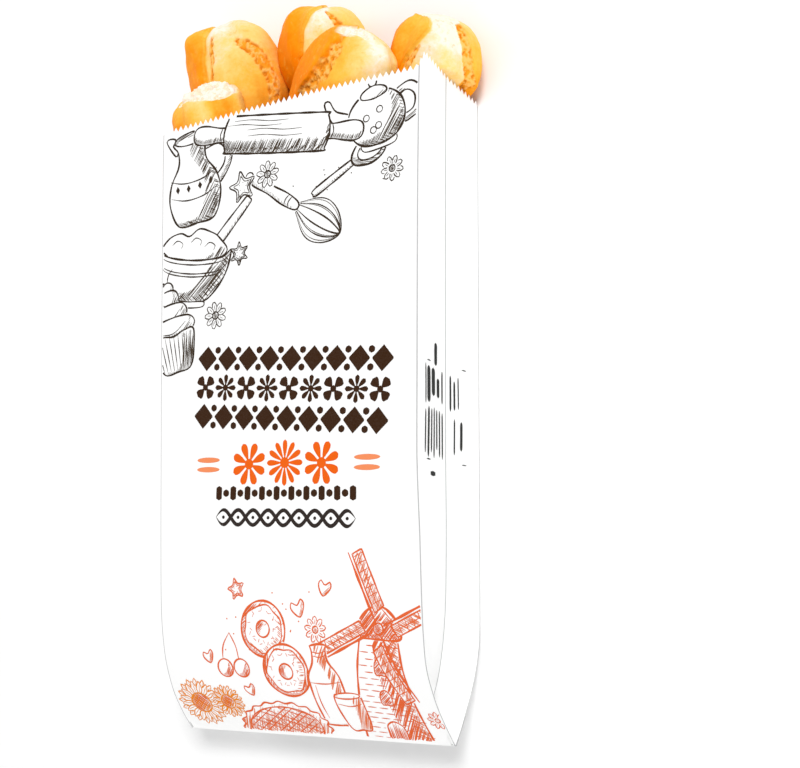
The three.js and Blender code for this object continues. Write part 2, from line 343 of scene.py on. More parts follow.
def edit(thing, kind="VERT"):
    """Starts editing one object with nothing selected."""
    deselect_all()
    thing.select_set(True)
    bpy.context.view_layer.objects.active = thing
    bpy.ops.object.mode_set(mode="EDIT")
    bpy.ops.mesh.select_mode(type=kind)
    bpy.ops.mesh.select_all(action="DESELECT")


def choose(thing, parts, wanted):
    """Selects the vertices, edges or faces for which wanted(part) is true, and counts them."""
    bpy.ops.object.mode_set(mode="OBJECT")
    count = 0
    for part in getattr(thing.data, parts):
        part.select = wanted(part)
        count += part.select
    bpy.ops.object.mode_set(mode="EDIT")
    return count


edit(paper_sheet)
bpy.ops.mesh.select_all(action="SELECT")
bpy.ops.mesh.remove_doubles(threshold=0.01 * MM)
bpy.ops.mesh.normals_make_consistent(inside=False)

bottom_line = in_scene(0, 0, 0).y
front_bottom = in_scene(0, 0, FRONT_BOTTOM).z
ends = paper_sheet.data.vertices
edit(paper_sheet, "EDGE")
found = choose(paper_sheet, "edges", lambda edge: all(
    abs(ends[v].co.y - bottom_line) < 1e-6 and ends[v].co.z > front_bottom for v in edge.vertices))
for move in FLAP_STEPS:
    bpy.ops.mesh.extrude_region_move(TRANSFORM_OT_translate={"value": Vector(move) * MM})
bpy.ops.object.mode_set(mode="OBJECT")
print("bottom flap made from", found, "edges")

# %% [markdown]
# Solidify gives the sheet its thickness, inwards, so the outside keeps its size. Faces that meet at less
# than 25 degrees are shaded smooth, and the folds keep sharp edges.

# %% Thickness and smooth shading
def apply_modifier(thing, kind, **settings):
    """Adds a modifier with its settings and applies it at once."""
    deselect_all()
    thing.select_set(True)
    bpy.context.view_layer.objects.active = thing
    bpy.ops.object.modifier_add(type=kind)
    modifier = thing.modifiers[-1]
    for name, value in settings.items():
        setattr(modifier, name, value)
    bpy.ops.object.modifier_apply(modifier=modifier.name)


apply_modifier(paper_sheet, "SOLIDIFY", thickness=PAPER * MM, offset=-1, use_even_offset=True)
bpy.ops.object.shade_smooth_by_angle(angle=math.radians(25))
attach(paper_sheet, "root")
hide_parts("paper_bag")
print("paper has", len(paper_sheet.data.polygons), "faces")

# %% [markdown]
# ## Shader maths
# A material is a small calculation that runs at every point of a surface. Output wraps one socket of a
# node, so that plain Python sums such as 1 - mask become Math nodes. Recipe.node adds any other node.

# %% Node sockets that do sums
class Output:
    """One output of a node, on which + - * / work."""

    def __init__(self, recipe, socket):
        self.recipe = recipe
        self.socket = socket

    def maths(self, operation, first, second=0.0):
        return self.recipe.node("ShaderNodeMath", {"operation": operation}, {0: first, 1: second})

    def __add__(self, other):
        return self.maths("ADD", self, other)

    def __radd__(self, other):
        return self.maths("ADD", other, self)

    def __sub__(self, other):
        return self.maths("SUBTRACT", self, other)

    def __rsub__(self, other):
        return self.maths("SUBTRACT", other, self)

    def __mul__(self, other):
        return self.maths("MULTIPLY", self, other)

    def __rmul__(self, other):
        return self.maths("MULTIPLY", other, self)

    def __abs__(self):
        return self.maths("ABSOLUTE", self)

    def limited(self):
        """The value kept between 0 and 1."""
        return self.recipe.node("ShaderNodeClamp", {}, {"Value": self})

    def between(self, low, high):
        """0 below low, 1 above high, and a smooth step between."""
        borders = {"Value": self, "From Min": low, "From Max": high}
        return self.recipe.node("ShaderNodeMapRange", {"interpolation_type": "SMOOTHSTEP"}, borders)


class Recipe:
    """A node material under construction."""

    def __init__(self, name):
        self.material = bpy.data.materials.new(name)
        self.material.use_nodes = True
        self.tree = self.material.node_tree
        self.surface = self.tree.nodes["Principled BSDF"]

    def node(self, kind, settings=None, values=None, output=0):
        """Adds a node: its settings first, then the values or links of its sockets."""
        made = self.tree.nodes.new(kind)
        for name, value in (settings or {}).items():
            if name == "stops":
                ramp = made.color_ramp
                while len(ramp.elements) < len(value):
                    ramp.elements.new(0.5)
                for element, (position, colour) in zip(ramp.elements, value):
                    element.position = position
                    element.color = (*colour, 1)
            else:
                setattr(made, name, value)
        self.fill(made, values or {})
        return Output(self, made.outputs[output])

    def fill(self, made, values):
        """Sets or links a node's input sockets."""
        for name, value in values.items():
            if isinstance(value, Output):
                self.tree.links.new(value.socket, made.inputs[name])
            else:
                made.inputs[name].default_value = value

    def place(self):
        """Where the point is, in metres."""
        return self.node("ShaderNodeTexCoord", output="Object")

    def stored(self, name):
        """A value that was stored on the mesh."""
        return self.node("ShaderNodeAttribute", {"attribute_name": name}, output="Fac")

    def mix(self, share, first, second):
        """One colour turning into another."""
        first, second = [value if isinstance(value, Output) else (*value, 1) for value in (first, second)]
        return self.node("ShaderNodeMix", {"data_type": "RGBA"}, {0: share, 6: first, 7: second}, output=2)

    def noise(self, scale, detail=3.0, roughness=0.5, stretch=None):
        """Cloudy noise of a scale in waves per metre, drawn out along an axis if stretch is given."""
        where = self.place()
        if stretch:
            where = self.node("ShaderNodeMapping", {}, {"Vector": where, "Scale": stretch})
        values = {"Vector": where, "Scale": scale, "Detail": detail, "Roughness": roughness}
        return self.node("ShaderNodeTexNoise", {}, values)

    def finish(self, bump=None, bump_height=1.0, **values):
        """Wires the results to the surface and returns the material."""
        self.fill(self.surface, {name.replace("_", " "): value for name, value in values.items()})
        if bump is not None:
            normal = self.node("ShaderNodeBump", {}, {"Height": bump, "Distance": bump_height * MM})
            self.tree.links.new(normal.socket, self.surface.inputs["Normal"])
        return self.material


# %% [markdown]
# ## White paper
# The paper is bleached and smooth, with faint fibres. The folds and the glued seam show as thin grey lines,
# which are painted shade, the shade that falls along each fold. The sheet's own UV map runs once round the
# tube and once along it, so a fold is simply a line at a fixed share of the way round.

# %% Paper material
FOLD_SHARES = [sum(WALL_COLUMNS[:wall]) / COLUMNS for wall in range(6)] + [1.0]
BACK_SEAM = FOLD_SHARES[BACK] / 2 + FOLD_SHARES[BACK + 1] / 2
SHEET_ROUND = 2 * PANEL_WIDTH + 4 * HALF_GUSSET

paper = Recipe("white_paper")
uv = paper.node("ShaderNodeUVMap", {"uv_map": paper_sheet.data.uv_layers[0].name})
round_share = paper.node("ShaderNodeSeparateXYZ", {}, {0: uv}, output=0)
# Painted shade: thin grey lines along the folds and the glued seam.
fold_shade_lines = 0.0
for share in FOLD_SHARES + [BACK_SEAM]:
    from_fold = abs(round_share - share) * SHEET_ROUND
    fold_shade_lines = fold_shade_lines + (1 - from_fold.between(0.3, 0.75))
fibres = paper.noise(900, detail=4, stretch=(1, 0.25, 1))
clouds = paper.noise(14, detail=2)
clean = paper.mix(clouds.between(0.3, 0.7), (0.90, 0.90, 0.895), (0.925, 0.925, 0.92))
# The grey fold lines are painted shade, mixed over the clean paper.
fold_shaded = paper.mix(fold_shade_lines.limited() * 0.8, clean, (0.3, 0.3, 0.31))
paper_finish = paper.finish(
    bump=fibres, bump_height=0.03, Base_Color=fold_shaded, Roughness=0.55 + fibres * 0.2)
paper.surface.inputs["Specular IOR Level"].default_value = 0.3
paper_sheet.data.materials.clear()
paper_sheet.data.materials.append(paper_finish)
print("white paper has", len(paper.tree.nodes), "nodes")

# %% [markdown]
# ## The print
# The front is printed with pen drawings from a kitchen and a mill: dark brown ones at the top, orange ones
# at the bottom, and rows of plain ornaments between them. Ink has no thickness worth naming, but as geometry
# it stays sharp from near by and needs no picture. Every pen stroke is a curve with a width at each point.
# The drawings are made flat, in millimetres, on the unrolled front panel, and are laid on the paper later.

# %% Lines
chance = random.Random(5)


def smooth_line(points, closed=False, steps=6):
    """A smooth line through a few points."""
    points = np.array(points, float)
    if closed:
        ring = np.vstack([points[-1:], points, points[:2]])
    else:
        ring = np.vstack([2 * points[:1] - points[1:2], points, 2 * points[-1:] - points[-2:-1]])
    t = np.arange(steps)[:, None] / steps
    line = []
    for a, b, c, d in zip(ring, ring[1:], ring[2:], ring[3:]):
        square, cube = 2 * a - 5 * b + 4 * c - d, 3 * b - a - 3 * c + d
        line.append(0.5 * (2 * b + (c - a) * t + square * t ** 2 + cube * t ** 3))
    return np.vstack(line + [line[0][:1] if closed else points[-1:]])


def evenly(points, gap):
    """The same line with its points a fixed gap apart."""
    points = np.array(points, float)
    run = np.concatenate([[0], np.cumsum(np.hypot(*np.diff(points, axis=0).T))])
    at = np.linspace(0, run[-1], max(2, round(run[-1] / gap) + 1))
    return np.stack([np.interp(at, run, points[:, 0]), np.interp(at, run, points[:, 1])], axis=1)


def inside(points, shape):
    """Which of the points are inside a closed shape."""
    x, y = points[:, :1], points[:, 1:]
    (x1, y1), (x2, y2) = shape.T, np.roll(shape, -1, axis=0).T
    rise = np.where(y2 == y1, 1, y2 - y1)
    crossed = ((y1 > y) != (y2 > y)) & (x < x1 + (y - y1) * (x2 - x1) / rise)
    return crossed.sum(axis=1) % 2 == 1


def oval(x, y, across, along=None, turn=0):
    """The points of an ellipse."""
    t = np.linspace(0, 2 * np.pi, 29)[:-1]
    flat_oval = np.stack([np.cos(t) * across, np.sin(t) * (along or across)], axis=1)
    return turned(flat_oval, turn) + (x, y)


def turned(points, degrees):
    """Points turned round the origin."""
    angle = math.radians(degrees)
    c, s = math.cos(angle), math.sin(angle)
    return np.array(points, float) @ np.array([[c, s], [-s, c]])


def both_sides(right_half):
    """A closed outline from its right half, listed from the bottom up."""
    return right_half + [(-x, y) for x, y in reversed(right_half) if x]


print("an oval is drawn with", len(oval(0, 0, 1)), "points")

# %% [markdown]
# A sketch collects strokes. A form is a closed outline that hides whatever was drawn behind it, as on
# paper where the nearer thing is drawn first. Hatching fills a form with parallel strokes. With a shift,
# only the crescent that the shifted form leaves free is hatched, which shades the side away from the light.
# Every sketch has two inks, one for its outlines and one for its shading.

# %% A sketch
STROKE_GAP = 1.6
INK_SPREAD = 1.42
HATCH_DENSITY = 0.78


class Sketch:
    """A pen drawing: strokes with their points, their width at each point and their ink."""

    def __init__(self, ink, shade_ink):
        self.ink = ink
        self.shade_ink = shade_ink
        self.strokes = []
        self.forms = []

    def pen(self, points, width=0.55, ink=None, curved=True, closed=False):
        """One stroke, thinner towards its ends."""
        line = smooth_line(points, closed) if curved else np.array(points, float)
        if closed and not curved:
            line = np.vstack([line, line[:1]])
        line = evenly(line, STROKE_GAP)
        share = np.linspace(0, 1, len(line))
        thin = np.minimum(share, 1 - share) / 0.3
        pressed = 1 if closed else np.clip(thin, 0, 1) * 0.65 + 0.35
        waver = 1 + 0.22 * np.sin(share * len(line) * 0.55 + chance.uniform(0, 6))
        self.strokes.append((line, width * INK_SPREAD * pressed * waver, ink or self.ink))
        return line

    def keep(self, shape, wanted_inside):
        """Cuts every stroke off at a shape."""
        kept = []
        for line, width, ink in self.strokes:
            here = inside(line, shape) == wanted_inside
            edges = np.flatnonzero(np.diff(np.concatenate([[0], here.astype(int), [0]])))
            for start, end in zip(edges[::2], edges[1::2]):
                if end - start > 1:
                    kept.append((line[start:end], width[start:end], ink))
        self.strokes = kept

    def form(self, points, width=0.75, curved=True, ink=None):
        """A closed outline in front of all that was drawn before."""
        shape = smooth_line(points, closed=True) if curved else np.array(points, float)
        self.keep(shape, False)
        self.forms.append(shape)
        self.pen(points, width, ink, curved, closed=True)
        return shape

    def hatch(self, shape, angle=55, gap=1.25, width=0.32, shift=None, ink=None):
        """Parallel strokes in a form, or in the part of it that the shifted form leaves free."""
        along = np.array([math.cos(math.radians(angle)), math.sin(math.radians(angle))])
        aside = np.array([-along[1], along[0]])
        reach = shape @ aside
        lines = Sketch(self.ink, self.shade_ink)
        for offset in np.arange(reach.min() + gap / 2, reach.max(), gap * HATCH_DENSITY):
            lean = chance.uniform(-0.04, 0.04)
            ends = [(shape @ along).min(), (shape @ along).max()]
            straight = evenly([along * t + aside * (offset + lean * (t - ends[0])) for t in ends], 0.7)
            lines.strokes.append((straight, np.full(len(straight), width), ink or self.shade_ink))
        lines.keep(shape, True)
        if shift:
            lines.keep(shape + np.array(shift), False)
        for line, _, colour in lines.strokes:
            first, last = line[0], line[-1]
            if np.hypot(*(last - first)) > 0.8:
                last = first + (last - first) * chance.uniform(0.78, 1.0)
                self.pen([first, last], width, colour, curved=False)

    def dots(self, places, size=0.7, ink=None):
        """Small round dots."""
        for x, y in places:
            self.blot((x, y), size, size, ink=ink)

    def blot(self, at, length, width, turn=90, kind="oval", ink=None):
        """A solid shape: one very wide stroke with the outline of an oval, a lozenge, a drop or a bar."""
        step = np.linspace(-1, 1, max(7, round(length / 0.9)))
        outline = {"oval": np.sqrt(1 - step ** 2), "lozenge": 1 - abs(step), "bar": 1 - step ** 12,
                   "drop": np.sqrt(1 - step ** 2) * (0.62 + 0.5 * step)}[kind]
        line = turned(np.stack([step * length / 2, 0 * step], axis=1), turn) + at
        self.strokes.append((line, width * outline + 0.02, ink or self.ink))

    def add(self, other, at, turn=0, size=1.0):
        """Lays another sketch over this one."""
        for shape in other.forms:
            self.keep(turned(shape * size, turn) + at, False)
        for line, width, ink in other.strokes:
            self.strokes.append((turned(line * size, turn) + at, width, ink))


# %% [markdown]
# ## Drawings for the top
# Baking things, each drawn round its own middle: a rolling pin, a jug, a bowl of batter, a whisk, a spoon, a
# cupcake, a teapot, and a few biscuits and daisies to scatter between them. Symmetric things are drawn from
# one half.

# %% Rolling pin, jug and bowl
BROWN = ("brown", "umber")


def rolling_pin(half=40, thick=12.5):
    """A wooden rolling pin with two turned handles."""
    sketch = Sketch(*BROWN)
    for side in (-1, 1):
        grip = [(-2, 4), (7, 5), (19, 6.5), (26, 5), (28, 0), (26, -5), (19, -6.5), (7, -5), (-2, -4)]
        handle = sketch.form([(side * (half + x), y) for x, y in grip])
        sketch.hatch(handle, 70, 1.1, shift=(0, 4.5))
        sketch.pen([(side * (half + 4), 5), (side * (half + 5.5), 0), (side * (half + 4), -5)], 0.6)
    body = sketch.form([(-half, -thick + 2), (-half - 2.5, 0), (-half, thick - 2), (-half + 5, thick),
                        (half - 5, thick), (half, thick - 2), (half + 2.5, 0), (half, -thick + 2),
                        (half - 5, -thick), (-half + 5, -thick)], 0.9)
    sketch.hatch(body, 68, 1.15, 0.36, shift=(-1, 10))
    sketch.hatch(body, 40, 1.7, 0.3, shift=(-2, 5))
    for y in (9, 6, 3, -1):
        start = chance.uniform(-44, -10)
        sketch.pen([(start, y), (start + 14, y + 0.7), (start + 30, y - 0.4), (start + 44, y + 0.2)], 0.35)
    return sketch


def jug():
    """A milk jug with a handle and a painted band."""
    sketch = Sketch(*BROWN)
    handle = sketch.form([(10, 21), (22, 22), (30, 14), (29, 2), (19, -9),
                          (17, -4), (24, 3), (25, 12), (20, 17), (10, 16)])
    sketch.hatch(handle, 30, 1.0, shift=(-2, 2))
    sketch.form([(-11, 27), (-16, 30), (-19, 28), (-12, 17)])
    belly = both_sides([(0, -29), (14, -28), (20, -14), (18, -1), (11, 10), (10.5, 19), (13, 26)])
    body = sketch.form(belly, 0.9)
    sketch.hatch(body, 52, 1.2, 0.36, shift=(-12, 4))
    sketch.hatch(body, -30, 1.5, 0.3, shift=(-5, 3))
    lip = sketch.form(oval(0, 26, 13, 4), 0.7)
    sketch.hatch(lip, 10, 0.9, shift=(0, -3))
    for y in (2, -9):
        sketch.pen([(-18.5, y), (-9, y - 3.5), (0, y - 4.4), (9, y - 3.5), (18.5, y)], 0.6)
    for x in (-13, -4.5, 4.5, 13):
        sketch.blot((x, -6.5 + abs(x) * 0.14), 5, 3.4, kind="lozenge")
    return sketch


def bowl():
    """A striped mixing bowl full of batter, with a wooden spoon in it."""
    sketch = Sketch(*BROWN)
    spoon = sketch.form([(12, 14), (36, 44), (39, 47), (42, 45), (41, 41), (17, 10)])
    sketch.hatch(spoon, 100, 1.1, shift=(-1.5, 1.5))
    batter = sketch.form([(-27, 10), (-24, 19), (-14, 23), (-6, 21), (2, 26),
                          (12, 24), (20, 20), (27, 10), (0, 0)])
    sketch.hatch(batter, 60, 1.4, shift=(-6, 4))
    for x, y in ((-14, 15), (2, 17), (14, 14)):
        sketch.pen([(x - 6, y), (x - 2, y + 3), (x + 3, y + 1), (x + 2, y - 2)], 0.45)
    rim = [(x, 12 - 7 * math.sqrt(1 - (x / 31) ** 2)) for x in (-31, -26, -16, 0, 16, 26, 31)]
    body = sketch.form(rim + [(29, -2), (21, -15), (11, -22), (-11, -22), (-21, -15), (-29, -2)], 0.9)
    sketch.hatch(body, 48, 1.15, 0.36, shift=(-13, 7))
    sketch.hatch(body, -35, 1.5, 0.3, shift=(-6, 4))
    for drop in (3, 9, 11):
        sketch.pen([(x * (1 - drop * 0.008), y - drop) for x, y in rim], 0.6)
    sketch.form(both_sides([(0, -26.5), (12, -25.5), (12.5, -22), (0, -22.5)]), 0.6)
    return sketch


# %% Whisk, spoon, cupcake and teapot
def whisk():
    """A balloon whisk, its wires to the top."""
    sketch = Sketch(*BROWN)
    for reach in (11, 7, 3):
        wire = [(1, 0), (reach, 15), (reach * 0.85, 27), (0, 35), (-reach * 0.85, 27), (-reach, 15), (-1, 0)]
        sketch.pen(wire, 0.6)
        sketch.pen([(x * 0.88, y * 0.985) for x, y in wire], 0.3, ink="umber")
    grip = sketch.form(both_sides([(0, -34), (3, -32), (2.6, -20), (3.4, -8), (2.4, 1), (0, 3)]))
    sketch.hatch(grip, 25, 0.95, shift=(-2, 1))
    for y in (-4, -6.5):
        sketch.pen([(-3, y), (0, y - 0.8), (3, y)], 0.5)
    sketch.form(oval(0, -36.5, 2.6), 0.6)
    return sketch


def spoon():
    """A wooden spoon, its bowl to the top."""
    sketch = Sketch(*BROWN)
    handle = sketch.form([(-1.6, 14), (-2.5, -21), (0, -25), (2.5, -21), (1.6, 14)], 0.8)
    sketch.hatch(handle, 20, 1.0, shift=(-2, 0))
    scoop = sketch.form(both_sides([(0, 8), (5, 11), (9, 20), (8, 30), (0, 36)]), 0.9)
    sketch.hatch(scoop, 58, 1.0, shift=(-4, 3))
    hollow = sketch.form(both_sides([(0, 13), (3.5, 15), (6.3, 22), (5.6, 29), (0, 32.5)]), 0.6)
    sketch.hatch(hollow, -40, 1.0, shift=(3, -3))
    return sketch


def cupcake():
    """A cupcake in a pleated paper cup."""
    sketch = Sketch(*BROWN)
    berry = sketch.form(oval(0, 31, 4.5))
    sketch.hatch(berry, 40, 0.9, shift=(-2, 2))
    sketch.pen([(0, 35), (2, 40), (6, 43)], 0.5)
    for y, half in ((23, 8), (14, 13.5), (5, 18.5)):
        side = [(0, y - 6), (half * 0.7, y - 5), (half, y), (half * 0.75, y + 5.5), (0, y + 7)]
        swirl = sketch.form(both_sides(side))
        sketch.hatch(swirl, 30 + y, 1.15, shift=(-4.5, 3))
        sketch.pen([(-half * 0.7, y - 1), (0, y - 3), (half * 0.6, y + 2)], 0.4)
    cup = sketch.form([(-17, 0), (-12, -21), (0, -23), (12, -21), (17, 0), (9, 1.8), (0, 0), (-9, 1.8)], 0.8)
    for step in range(-4, 5):
        sketch.pen([(step * 3.6, 0.5), (step * 2.75, -21.6)], 0.45)
    sketch.hatch(cup, 76, 0.9, shift=(-9, 2))
    return sketch


def teapot():
    """A round teapot."""
    sketch = Sketch(*BROWN)
    spout = sketch.form([(-16, 4), (-28, 12), (-32, 20), (-36, 19), (-32, 6), (-24, -8), (-14, -10)])
    sketch.hatch(spout, 35, 1.2, shift=(-3, 4))
    handle = sketch.form([(15, 11), (26, 14), (33, 6), (31, -6), (20, -11),
                          (18, -7), (26, -4), (28, 4), (23, 9), (16, 7)])
    sketch.hatch(handle, 20, 1.1, shift=(-2, 2))
    sketch.form(both_sides([(0, -22), (11, -21), (12, -16), (0, -15)]), 0.6)
    sketch.form(oval(0, 22, 3), 0.7)
    body = sketch.form(both_sides([(0, -19), (13, -16), (20, -6), (19, 6), (11, 14), (0, 16)]), 0.9)
    sketch.hatch(body, 50, 1.15, 0.36, shift=(-9, 6))
    sketch.hatch(body, -30, 1.6, 0.3, shift=(-4, 3))
    lid = sketch.form(both_sides([(0, 11), (9, 13), (8, 17), (0, 19.5)]), 0.7)
    sketch.hatch(lid, 30, 1.1, shift=(-3, 1))
    for x, y in ((-7, 0), (1, -7), (-3, -9), (3, 3)):
        sketch.form(oval(x, y, 2.2), 0.45)
    return sketch


# %% Biscuits and daisies
def star_biscuit(ink=BROWN, points=5, size=9):
    """A star with an iced edge and sugar grains."""
    sketch = Sketch(*ink)
    corners = np.array([turned([(0, size * (0.52 if k % 2 else 1))], 180 * k / points)[0]
                        for k in range(2 * points)])
    star = sketch.form(corners, 0.6)
    sketch.pen(0.68 * corners, 0.6 * 0.68, closed=True)
    sketch.hatch(star, 50, 1.2, shift=(-2.5, 2))
    sketch.dots([turned([(size * 0.25, 0)], 72 * k)[0] for k in range(5)], 0.6)
    return sketch


def daisy(ink=BROWN, petals=9, size=9):
    """A daisy seen from above."""
    sketch = Sketch(*ink)
    for k in range(petals):
        petal = turned(oval(0, size * 0.62, size * 0.2, size * 0.38), 360 * k / petals)
        sketch.form(petal[::2], 0.45)
        sketch.pen(turned([(0, size * 0.4), (0.3, size * 0.75)], 360 * k / petals), 0.3)
    middle = sketch.form(oval(0, 0, size * 0.27)[::2], 0.55)
    sketch.hatch(middle, 20, 0.8)
    return sketch


# %% [markdown]
# ## Drawings for the bottom
# The orange corner shows a windmill, a milk bottle with a glass, doughnuts, a latticed pie, cherries, hearts
# and sunflowers. Its hatching is closer than that of the top, so the corner reads as a field of warm colour.

# %% Windmill
ORANGE = ("flame", "apricot")


def windmill():
    """A brick windmill with four lattice sails."""
    sketch = Sketch(*ORANGE)
    tower = sketch.form([(-24, -60), (-13, 16), (13, 16), (24, -60)], 0.9, curved=False)
    for row, y in enumerate(range(-58, 14, 4)):
        half = 13 + (16 - y) * 0.145
        for x in np.arange(-half + (row % 2) * 4 + 1, half - 4, 8):
            sketch.pen([(x, y), (x + 6, y)], 0.42, curved=False)
    sketch.hatch(tower, 62, 1.05, 0.5, shift=(-19, 3), ink="flame")
    sketch.hatch(tower, -28, 1.5, 0.36, shift=(-9, 3))
    door = sketch.form(both_sides([(0, -60), (6, -60), (6, -46), (4, -42), (0, -40)]), 0.7)
    sketch.hatch(door, 88, 1.0, 0.4, ink="flame")
    for y in (-22, -2):
        window = sketch.form(both_sides([(0, y - 5), (3.6, y - 5), (3.6, y + 2), (0, y + 5)]), 0.6)
        sketch.hatch(window, 45, 0.9, 0.35, ink="flame")
    cap = sketch.form(both_sides([(0, 14), (15, 15), (14, 23), (8, 30), (0, 33)]), 0.9)
    sketch.hatch(cap, 50, 1.0, 0.5, ink="flame")
    sketch.hatch(cap, -40, 1.3, 0.4, shift=(-8, 3), ink="flame")
    for k in range(4):
        sail = np.array([(2, 9), (9.5, 10), (9.5, 46), (2, 46)], float)
        blade = sketch.form(turned(sail, 90 * k + 28) + (0, 20), 0.7, curved=False)
        for y in range(14, 46, 5):
            sketch.pen(turned([(2, y), (9.5, y)], 90 * k + 28) + (0, 20), 0.4, curved=False)
        sketch.pen(turned([(5.7, 10), (5.7, 46)], 90 * k + 28) + (0, 20), 0.4, curved=False)
        sketch.pen(turned([(0, 0), (0, 48)], 90 * k + 28) + (0, 20), 1.1, curved=False)
        sketch.hatch(blade, 90 * k + 70, 1.2, 0.4)
    hub = sketch.form(oval(0, 20, 3.4)[::2], 0.7)
    sketch.hatch(hub, 30, 0.8, ink="flame")
    return sketch


# %% Milk, doughnuts and pie
def milk():
    """A milk bottle with a glass in front."""
    sketch = Sketch(*ORANGE)
    side = [(0, -30), (11, -29), (12.5, -26), (12.5, 2), (11, 10), (6, 18), (5.5, 26), (6.5, 28), (0, 29)]
    bottle = sketch.form(both_sides(side), 0.85)
    sketch.hatch(bottle, 62, 1.0, 0.42, shift=(-9, 1))
    for y in (22, 24.5, 4):
        half = 5.8 if y > 10 else 12.3
        sketch.pen([(-half, y), (0, y - 1.2), (half, y)], 0.5)
    sketch.pen([(-8.5, 2), (-9, -12), (-8.5, -24)], 0.5)
    glass = sketch.form([(5, -32), (3, -6), (13, -7.6), (23, -6), (21, -32), (13, -33.6)], 0.8)
    sketch.form(oval(13, -6, 10, 2.2)[::2], 0.6)
    sketch.pen([(4, -12), (13, -14), (22, -12)], 0.5)
    sketch.hatch(glass, 66, 1.0, 0.42, shift=(-8, 1))
    return sketch


def doughnut(size=18):
    """A ring doughnut with icing and sprinkles."""
    sketch = Sketch(*ORANGE)
    outer = sketch.form(oval(0, 0, size)[::2], 0.9)
    sketch.hatch(outer, 40, 0.9, 0.5, ink="flame")
    icing = sketch.form(
        [turned([(size * (0.84 + 0.05 * math.sin(2.4 * k)), 0)], 24 * k)[0] for k in range(15)], 0.6)
    sketch.hatch(icing, -40, 1.6, shift=(-3, 3))
    for k in range(22):
        place = turned([(size * (0.46 + 0.26 * ((k * 0.618) % 1)), 0)], 137.5 * k)[0]
        sketch.pen([place, place + turned([(2.2, 0)], 61 * k)[0]], 0.65, curved=False)
    hole = sketch.form(oval(0, 0, size * 0.3)[::2], 0.7)
    sketch.hatch(hole, 40, 0.9, 0.36, shift=(3, -3), ink="flame")
    return sketch


def pie(width=34, deep=21):
    """A round pie with a lattice lid and a crimped edge."""
    sketch = Sketch(*ORANGE)
    edge = [turned([(1.06 if k % 2 else 0.98, 0)], 9 * k)[0] * (width, deep) for k in range(40)]
    outer = sketch.form(edge, 0.8)
    sketch.hatch(outer, 60, 1.0, 0.45)
    lid = sketch.form(oval(0, 0.5, width * 0.84, deep * 0.82), 0.7)
    lattice = Sketch(*ORANGE)
    for angle in (28, -28):
        for offset in range(-36, 37, 9):
            for side in (-1.6, 1.6):
                lattice.pen(turned([(-44, offset + side), (44, offset + side)], angle), 0.5, curved=False)
        lattice.hatch(lid, angle + 90, 1.5, 0.28)
    lattice.keep(lid, True)
    sketch.strokes += lattice.strokes
    return sketch


# %% Cherries, hearts and sunflower
def cherries():
    """Two cherries on one stem."""
    sketch = Sketch(*ORANGE)
    sketch.pen([(-6, 3), (-3, 12), (4, 19)], 0.6)
    sketch.pen([(7, 1), (7, 10), (4, 19)], 0.6)
    for x, y in ((-6, -2), (7, -4)):
        cherry = sketch.form(oval(x, y, 6)[::2], 0.7)
        sketch.hatch(cherry, 45, 0.9, 0.36, shift=(-3, 3), ink="flame")
    return sketch


def heart(size=5):
    """A small hatched heart."""
    sketch = Sketch(*ORANGE)
    side = [(0, -size), (size, 0.2 * size), (0.75 * size, size), (0, 0.45 * size)]
    sketch.hatch(sketch.form(both_sides(side), 0.6), 50, 0.9, shift=(-2, 1.4))
    return sketch


def sunflower(size=17, petals=17):
    """A sunflower with two rings of petals."""
    sketch = Sketch("amber", "apricot")
    for ring in (0, 1):
        for k in range(petals):
            turn = 360 * (k + ring / 2) / petals
            reach = size * (1 - 0.1 * ring)
            petal = both_sides([(0, size * 0.42), (size * 0.13, reach * 0.72), (0, reach * 1.1)])
            sketch.form(turned(petal, turn), 0.55)
            sketch.pen(turned([(0, reach * 0.55), (0.4, reach * 0.95)], turn), 0.35)
    middle = sketch.form(oval(0, 0, size * 0.46)[::2], 0.7)
    sketch.hatch(middle, 45, 1.1, 0.4, ink="amber")
    sketch.hatch(middle, -45, 1.1, 0.4, ink="flame")
    return sketch


# %% [markdown]
# ## Ornaments for the middle
# Between the drawings the bag carries rows of bold shapes: brown lozenges and blossoms, three orange
# blossoms between pairs of bars, a row of beads and a twisted cord. Each is one wide stroke or a few. The
# rows are turned a little on the panel, so that they look level from the camera.

# %% Rows of ornaments
def blossom(sketch, at, size, petals, ink, start=0.0):
    """Drop-shaped petals round a bead."""
    for k in range(petals):
        turn = start + 360 * k / petals
        middle = turned([(size * 0.56, 0)], turn)[0] + at
        sketch.blot(middle, size * 0.9, size * 4 / petals, turn, "drop", ink)
    sketch.dots([at], size * 0.5, ink)


def brown_rows(half=76):
    """Two rows of lozenges with a row of blossoms between them."""
    sketch = Sketch("cocoa", "cocoa")
    for y in (47, 10):
        for k in range(-4, 5):
            x = (half - 8) * k / 4
            sketch.blot((x, y), 16, 16, kind="lozenge")
            if k < 4:
                sketch.dots([(x + 8.5, y - 5.4), (x + 8.5, y + 5.4)], 4.6)
    for k in range(-4, 5):
        blossom(sketch, ((half - 8) * k / 4, 28.5), 8.5, 4 + 4 * (k % 2), "cocoa", 45)
    return sketch


